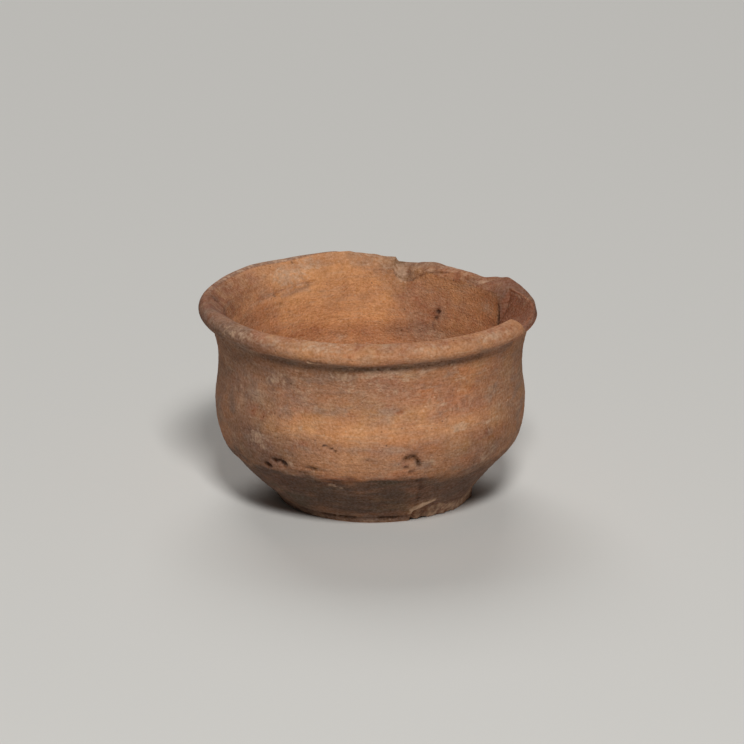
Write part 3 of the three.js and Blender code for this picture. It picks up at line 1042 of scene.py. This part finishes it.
INNER_STAINS = {
    "bloom": [
        (124.4, 29.3, 8, 3.2, 0, 0.75), (115, 30.5, 5, 2.2, 0, 0.6), (102.5, 18.7, 3, 1.0, 0, 0.9),
        (61.2, 19.8, 5, 2.2, 0, 0.7), (84, 29.3, 5, 2.0, 0, 0.35), (77.5, 28.6, 2.4, 2.6, 0, 0.7),
        (30, 26.8, 6, 3, 0, 0.5),
    ],
    "warm": [
        (92, 27, 16, 7, 0, 1.0), (107, 25, 16, 7, 0, 1.0), (93, 29.2, 34, 5, 0, 1.0),
        (70, 28.5, 12, 4, 0, 1.0), (135, 24, 14, 4, 0, 0.4), (59, 27.3, 14, 5, 0, 1.0),
    ],
    "ember": [
        (121, 20.8, 9, 4, 0, 0.35), (172, 27.5, 24, 8, 0, 0.2), (66, 24.5, 12, 8, 0, 0.35),
        (62, 25.3, 15, 6, 0, 0.12), (40, 22.5, 9, 5, 0, 0.35),
    ],
    "veil": [
        (172, 27.5, 22, 7, 0, 0.2), (66, 20, 15, 4.5, 0, 0.8),
    ],
}


# %% Painted shade under the lip and rubbed places on it
LEFT_UNDER_LIP_SHADE = (-126, 27.7, 13, 1.5)
BROKEN_PART = (-26, 98, 2)
FRONT_OF_LIP = (-112, -30, 15)
FRONT_CREST = (-120, -28, 10)
RED_CREST = (-116, -28, 10)
FAR_EDGE_LIGHT = (114, 168, 12)


def shade_lip():
    """The painted shade under the lip and in the crease above it, and the tones that follow the roll."""
    # Painted shade under the lip: soot lines along its lower edge, darker at the front, and a wider band at
    # the left
    tint("soot", np.where(outside, line(UNDER_LIP, 1.6), 0), 0.45)
    tint("soot", np.where(outside, line(UNDER_LIP[3:7], 1.1), 0), 0.75)
    tint("soot", np.where(outside, oval(*LEFT_UNDER_LIP_SHADE), 0), 0.65)
    left_shade = [(angle, level - 0.6) for angle, level in UNDER_LIP[:5]]
    tint("soot", np.where(outside, line(left_shade, 6), 0), 0.42)
    # The crease where the throat meets the lip is painted darker, as its shade
    lip_seam_shade = fade(course, THROAT + 0.72, THROAT + 0.95) * fade(course, LIP + 0.2, LIP + 0.05)
    tint("veil", lip_seam_shade * (1 - between(*BROKEN_PART)), 0.85)
    front = between(*FRONT_OF_LIP)
    # The underside of the lip in front is painted a little darker, as painted shade
    tint("veil", fade(course, LIP + 0.05, LIP + 0.2) * front, 0.12)
    top_of_lip = fade(course, LIP + 0.12, LIP + 0.3) * fade(course, LIP + 0.85, LIP + 0.6)
    tint("warm", top_of_lip * front, 0.35)
    inner_top = fade(course, LIP + 0.36, LIP + 0.5) * fade(course, LIP + 0.85, LIP + 0.7)
    tint("soot", inner_top * between(*FRONT_CREST), 0.1)
    tint("ember", inner_top * between(*RED_CREST), 0.35)
    # The far rim's edge is painted grey, as the painted grey sheen that light lays along its silhouette
    far_edge_light = fade(course, LIP + 0.45, LIP + 0.54) * fade(course, LIP + 0.66, LIP + 0.6)
    far_edge_light = far_edge_light * between(*FAR_EDGE_LIGHT)
    tint("veil", far_edge_light, 0.85)
    tint("bloom", far_edge_light, 0.4)


shade_lip()


# %% Lay the stains
CLEAN_BACK = (50, 168, 18)
RAGGED_BY = 0.35
FULL_EDGE = 0.8


def lay_stains():
    """Lays every stain and streak on its own side of the cup."""
    tint("warm", np.where(inside, between(*CLEAN_BACK), 0), 0.5)
    ragged = 1 + RAGGED_BY * speckle(1.8, 13)
    whole_lip = (course > LIP + 0.1) & (course < INNER_THROAT + 0.6)
    sides = (outside, inside, whole_lip, whole_lip)
    for side, stains in zip(sides, (OUTER_STAINS, INNER_STAINS, LIP_STAINS, RIM_SPOTS)):
        for name, places in stains.items():
            for *where, amount in places:
                tint(name, np.where(side, oval(*where, FULL_EDGE) * ragged, 0), amount)
    for name, points, width, amount in OUTER_STREAKS:
        tint(name, np.where(outside, line(points, width) * ragged, 0), amount)


lay_stains()
print({name: round(float(tone.mean()), 3) for name, tone in tones.items()})


# %% [markdown]
# ## Push the surface
# The relief moves each vertex along its normal, once, and nothing sinks below the floor that the cup
# stands on. The underside gets the curved ridges of the string, which are circles round a far point.

# %% Apply the relief and store the tones
STRING_PITCH = 3.2
STRING_HEIGHT = 0.12
STRING_CENTRE = -26
STRING_SQUEEZE = 1.2
RIDGES_FULL = UNDERSIDE + 0.8
SHARP_ANGLE = math.radians(38)


def finish_mesh():
    """Puts the places, the relief and the tone maps into the mesh, in metres."""
    mesh.vertices.foreach_set("co", place.ravel())
    mesh.update()
    normals = np.empty(count * 3)
    mesh.vertices.foreach_get("normal", normals)
    normals = normals.reshape(-1, 3)
    moved = place + normals * relief[:, None]
    under = course < FOOT_EDGE
    far = np.hypot(place[:, 0] - STRING_CENTRE, place[:, 1] * STRING_SQUEEZE)
    ridges = (0.5 + 0.5 * np.sin(2 * np.pi * far / STRING_PITCH)) * STRING_HEIGHT
    moved[:, 2] = np.where(under, ridges * fade(course, FOOT_EDGE, RIDGES_FULL), np.maximum(moved[:, 2], 0))
    mesh.vertices.foreach_set("co", (moved * MM).ravel())
    for name, tone in tones.items():
        mesh.attributes.new(name, "FLOAT", "POINT").data.foreach_set("value", np.clip(tone, 0, 1))
    mesh.polygons.foreach_set("use_smooth", [True] * len(mesh.polygons))
    mesh.update()
    mesh.set_sharp_from_angle(angle=SHARP_ANGLE)


finish_mesh()
print(f"the surface moved in by {-relief.min():.2f} mm and out by {relief.max():.2f} mm at most")

# %% [markdown]
# ## The fired clay
# Low-fired earthenware is a matt, porous body: no gloss, an IOR near 1.5 and a roughness near 0.9. The fire
# and the fingers make it uneven at every size, so its colour is laid in coats, from patches of a centimetre
# down to grains of sand, with fine lines round the outside from the wet rag. The tone maps then bring in
# the marks, and the painted shade and highlights, broken up by the same noise. Soot and painted shade
# aren't one brown either: redder and greener smears lie in them.

# %% Colours
def linear(hex_colour):
    """An sRGB hex colour as linear red, green, blue and alpha."""
    channels = [int(hex_colour[i:i + 2], 16) / 255 for i in (1, 3, 5)]
    return [c / 12.92 if c <= 0.04045 else ((c + 0.055) / 1.055) ** 2.4 for c in channels] + [1]


CLAY = "#b67f5a"
CLAY_PINK = "#a87258"
CLAY_YELLOW = "#bb895b"
# Pale dust, also used for painted edge light and highlights
BLOOM_AND_HIGHLIGHT = "#c8a588"
WARM = "#d99b68"
ORANGE = "#c77e4d"
GREY_BEIGE = "#9c816f"
# The grey veil of handling, also used for painted shade
VEIL_AND_SHADE = "#85695a"
EMBER = "#98573a"
# Soot, also used for painted shade
SOOT_AND_SHADE = "#54443b"
SOOT_RED = "#6d4838"
SOOT_GREEN = "#5f5644"
# Fresh broken clay, also used for painted highlights
FRESH_CLAY_AND_HIGHLIGHT = "#d0ab8d"
# Painted shade in pits, cracks and grooves, and dark grit
CREVICE_SHADE_AND_GRIT = "#452b1c"

# %% Roughness and grain, with sizes in mm
CLAY_ROUGHNESS = 0.92
CLAY_IOR = 1.5
CLAY_SPECULAR = 0.25
SAND_SIZE = 0.4
SAND_CONTRAST = 0.035
# The real grain is finer still, and is drawn as coarse as it needs to show
GRAIN_SIZE = 0.3
GRAIN_DEPTH = 0.18
WIPE_SIZE = 0.35
WIPE_DEPTH = 0.1
PALE_GRAIN_SPACING = 1.4
DARK_GRAIN_SPACING = 2.3


# %% Mix the clay
def fired_clay():
    """Matt fired earthenware: dusty, warm and mottled, with every mark of the tone maps in it."""
    material = bpy.data.materials.new("fired_clay")
    material.use_nodes = True
    nodes = material.node_tree.nodes
    links = material.node_tree.links
    shader = nodes["Principled BSDF"]

    def add(kind, inputs, **settings):
        """Adds a node. An input is a value, or an output to link to."""
        node = nodes.new(kind)
        for name, value in settings.items():
            setattr(node, name, value)
        for key, value in inputs.items():
            if isinstance(value, bpy.types.NodeSocket):
                links.new(value, node.inputs[key])
            else:
                node.inputs[key].default_value = value
        return node

    where = add("ShaderNodeTexCoord", {}).outputs["Object"]
    in_mm = add("ShaderNodeVectorMath", {0: where, 3: 1 / MM}, operation="SCALE").outputs[0]
    flat = add("ShaderNodeMapping", {0: in_mm, "Scale": (0.14, 0.14, 1)}).outputs[0]
    lying = add("ShaderNodeMapping", {0: in_mm, "Scale": (0.5, 0.5, 1)}).outputs[0]
    tone = {name: add("ShaderNodeAttribute", {}, attribute_name=name).outputs["Fac"] for name in tones}

    def lumps(size, low, high, vector=in_mm, detail=2.0):
        """Soft patches of noise of a size in mm, nothing below low and full above high."""
        texture = add("ShaderNodeTexNoise", {"Vector": vector, "Scale": 1 / size, "Detail": detail})
        ramp = {0: texture.outputs[0], 1: low, 2: high}
        return add("ShaderNodeMapRange", ramp, interpolation_type="SMOOTHSTEP").outputs[0]

    def swing(size, low, high, detail=4.0):
        """Noise stretched from low to high, its middle half well used."""
        texture = add("ShaderNodeTexNoise", {"Vector": in_mm, "Scale": 1 / size, "Detail": detail})
        ramp = {0: texture.outputs[0], 1: 0.25, 2: 0.75, 3: low, 4: high}
        return add("ShaderNodeMapRange", ramp).outputs[0]

    def grains(spacing, reach):
        """Round spots, one for each cell of a size in mm, with a radius as a share of it."""
        cells = add("ShaderNodeTexVoronoi", {"Vector": in_mm, "Scale": 1 / spacing}).outputs["Distance"]
        ramp = {0: cells, 1: reach, 2: reach * 0.4}
        return add("ShaderNodeMapRange", ramp, interpolation_type="SMOOTHSTEP").outputs[0]

    def coat(under, hex_colour, amount, most=1.0):
        """Lays one colour over another."""
        strength = add("ShaderNodeMath", {0: amount, 1: most}, operation="MULTIPLY").outputs[0]
        mix = add("ShaderNodeMix", {0: strength, 6: under, 7: linear(hex_colour)}, data_type="RGBA")
        return mix.outputs[2]

    def scattered(name, size, reach=0.8):
        """A tone map that noise breaks up into specks where it is weak."""
        stir = swing(size, -reach / 2, reach / 2, detail=6.0)
        total = add("ShaderNodeMath", {0: tone[name], 1: stir}).outputs[0]
        ramp = {0: total, 1: 0.1, 2: 0.9}
        shaped = add("ShaderNodeMapRange", ramp, interpolation_type="SMOOTHSTEP").outputs[0]
        steep = {0: tone[name], 1: 8}
        present = add("ShaderNodeMath", steep, operation="MULTIPLY", use_clamp=True).outputs[0]
        return add("ShaderNodeMath", {0: shaped, 1: present}, operation="MULTIPLY").outputs[0]

    def smooth(name, size):
        """A tone map that noise only strengthens and weakens."""
        stir = swing(size, 0.55, 1.3)
        return add("ShaderNodeMath", {0: tone[name], 1: stir}, operation="MULTIPLY").outputs[0]

    worn = add("ShaderNodeMapRange", {0: tone["warm"], 1: 0.0, 2: 1.0, 3: 1.0, 4: 0.3}).outputs[0]

    def sparing(amount):
        """Fewer specks where the clay is clean."""
        return add("ShaderNodeMath", {0: amount, 1: worn}, operation="MULTIPLY").outputs[0]

    def sooty(size, low):
        """Lying smears that show in the soot and painted shade only."""
        smear = lumps(size, low, 0.7, vector=lying, detail=4.0)
        return add("ShaderNodeMath", {0: smear, 1: tone["soot"]}, operation="MULTIPLY").outputs[0]

    # The body, in patches of a centimetre and in smaller smears that lie along the wheel's turn
    colour = coat(linear(CLAY), CLAY_PINK, lumps(9, 0.42, 0.68), 0.7)
    colour = coat(colour, CLAY_YELLOW, lumps(6, 0.5, 0.72, detail=3.0), 0.6)
    colour = coat(colour, ORANGE, lumps(2.6, 0.5, 0.7, vector=lying, detail=3.0), 0.45)
    colour = coat(colour, GREY_BEIGE, sparing(lumps(2.2, 0.5, 0.7, vector=lying, detail=4.0)), 0.6)
    colour = coat(colour, EMBER, sparing(lumps(1.4, 0.54, 0.76, detail=4.0)), 0.3)
    colour = coat(colour, VEIL_AND_SHADE, sparing(lumps(1.1, 0.53, 0.75, detail=4.0)), 0.35)

    # Clean warm clay, the grey veil of handling with painted shade in it, and the red of the fire
    colour = coat(colour, WARM, smooth("warm", 3), 0.85)
    colour = coat(colour, VEIL_AND_SHADE, smooth("veil", 2.5), 0.75)
    colour = coat(colour, EMBER, scattered("ember", 1.4), 0.75)

    # Dust in the wiped lines and in specks
    colour = coat(colour, BLOOM_AND_HIGHLIGHT, lumps(0.5, 0.5, 0.75, vector=flat, detail=3.0), 0.3)
    colour = coat(colour, BLOOM_AND_HIGHLIGHT, sparing(lumps(1.7, 0.54, 0.74, detail=8.0)), 0.35)

    # Soot and painted shade, with redder and greener smears in them
    colour = coat(colour, SOOT_AND_SHADE, tone["soot"], 0.9)
    colour = coat(colour, SOOT_RED, sooty(2.6, 0.48), 0.5)
    colour = coat(colour, SOOT_GREEN, sooty(3.4, 0.5), 0.4)
    colour = coat(colour, VEIL_AND_SHADE, lumps(0.9, 0.5, 0.8, vector=flat, detail=4.0), 0.25)

    # The marks that lie on top: pale bloom, broken clay and painted shade in pits, cracks and grooves, with
    # painted highlights in the first two
    colour = coat(colour, BLOOM_AND_HIGHLIGHT, scattered("bloom", 0.7, reach=1.2), 0.6)
    colour = coat(colour, FRESH_CLAY_AND_HIGHLIGHT, scattered("fresh", 1.0), 0.8)
    colour = coat(colour, CREVICE_SHADE_AND_GRIT, scattered("crevice", 0.6, reach=0.3), 0.95)

    # Grains of grit, the pale ones only where no soot or painted shade hides them
    clean = add("ShaderNodeMath", {0: 1, 1: tone["soot"]}, operation="SUBTRACT", use_clamp=True).outputs[0]
    pale_grains = grains(PALE_GRAIN_SPACING, 0.16)
    shown_grains = add("ShaderNodeMath", {0: pale_grains, 1: clean}, operation="MULTIPLY").outputs[0]
    colour = coat(colour, FRESH_CLAY_AND_HIGHLIGHT, shown_grains, 0.4)
    colour = coat(colour, CREVICE_SHADE_AND_GRIT, grains(DARK_GRAIN_SPACING, 0.09), 0.5)

    # A little lighter and darker all over, and the sparkle of sand
    broad = swing(1.2, 0.88, 1.12)
    small = swing(0.4, 0.88, 1.12, detail=2.0)
    blotches = add("ShaderNodeMath", {0: broad, 1: small}, operation="MULTIPLY").outputs[0]
    colour = add("ShaderNodeHueSaturation", {"Color": colour, "Value": blotches}).outputs[0]
    sand = swing(SAND_SIZE, -SAND_CONTRAST, SAND_CONTRAST, detail=3.0)
    colour = add("ShaderNodeMix", {0: 1, 6: colour, 7: sand}, data_type="RGBA", blend_type="ADD").outputs[2]
    links.new(colour, shader.inputs["Base Color"])

    # Matt clay, with the grain and the wiped lines that are too fine for the mesh
    shader.inputs["Roughness"].default_value = CLAY_ROUGHNESS
    shader.inputs["IOR"].default_value = CLAY_IOR
    shader.inputs["Specular IOR Level"].default_value = CLAY_SPECULAR
    grain = add("ShaderNodeTexNoise", {"Vector": in_mm, "Scale": 1 / GRAIN_SIZE, "Detail": 4.0}).outputs[0]
    wipes = add("ShaderNodeTexNoise", {"Vector": flat, "Scale": 1 / WIPE_SIZE, "Detail": 3.0}).outputs[0]
    grain_height = {"Height": grain, "Distance": GRAIN_DEPTH * MM, "Strength": 1.0}
    grain_bump = add("ShaderNodeBump", grain_height).outputs[0]
    wipe_height = {"Height": wipes, "Distance": WIPE_DEPTH * MM, "Strength": 0.6, "Normal": grain_bump}
    links.new(add("ShaderNodeBump", wipe_height).outputs[0], shader.inputs["Normal"])
    return material


mesh.materials.append(fired_clay())
print(f"the clay has {len(mesh.materials[0].node_tree.nodes)} nodes")

# %% [markdown]
# ## Stand, light and world
# A matt pale floor, two soft lamps and a dim even sky. The stronger lamp stands in front, low enough to
# reach the back of the bowl, and high enough to leave the line of shade under the lip. The weaker and much
# wider one stands behind, for the crest of the lip and the back of the cup.

# %% Floor
FLOOR_RADIUS = 2.5
FLOOR_SEGMENTS = 96
FLOOR_GAP = 0.02
FLOOR_COLOUR = "#d3d1cc"


def pale_floor():
    """A round sheet of matt paper, a hair below the foot."""
    bm = bmesh.new()
    bmesh.ops.create_circle(bm, cap_ends=True, segments=FLOOR_SEGMENTS, radius=FLOOR_RADIUS)
    floor_mesh = bpy.data.meshes.new("floor")
    bm.to_mesh(floor_mesh)
    bm.free()
    floor = bpy.data.objects.new("floor", floor_mesh)
    floor.location.z = -FLOOR_GAP * MM
    paper = bpy.data.materials.new("matt_paper")
    paper.use_nodes = True
    shader = paper.node_tree.nodes["Principled BSDF"]
    shader.inputs["Base Color"].default_value = linear(FLOOR_COLOUR)
    shader.inputs["Roughness"].default_value = 1
    floor_mesh.materials.append(paper)
    bpy.context.collection.objects.link(floor)


pale_floor()

# %% Lamps
# Each lamp: name, angle round the cup, angle up, distance and side in metres, and power in watts
LAMPS = [
    ("key", -84, 44, 1.3, 0.26, 12.8),
    ("back", 98, 46, 1.5, 0.9, 9.5),
]
SKY_STRENGTH = 0.05


def lamp(name, angle_round, angle_up, distance, side, power):
    """A square soft lamp that faces the cup."""
    data = bpy.data.lights.new(name, "AREA")
    data.size = side
    data.energy = power
    turn = math.radians(angle_round)
    rise = math.radians(angle_up)
    towards = Vector((math.cos(turn) * math.cos(rise), math.sin(turn) * math.cos(rise), math.sin(rise)))
    light = bpy.data.objects.new(name, data)
    light.location = aim + towards * distance
    light.rotation_euler = towards.to_track_quat("Z", "Y").to_euler()
    bpy.context.collection.objects.link(light)


for values in LAMPS:
    lamp(*values)

world = bpy.data.worlds.new("studio")
world.use_nodes = True
world.node_tree.nodes["Background"].inputs["Color"].default_value = (1, 1, 1, 1)
world.node_tree.nodes["Background"].inputs["Strength"].default_value = SKY_STRENGTH
bpy.context.scene.world = world
bpy.context.scene.view_settings.view_transform = "Standard"
print(f"{len(LAMPS)} lamps light the cup")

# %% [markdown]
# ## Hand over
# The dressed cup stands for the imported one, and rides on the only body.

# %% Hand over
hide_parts("cup_body")
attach(cup, "root")
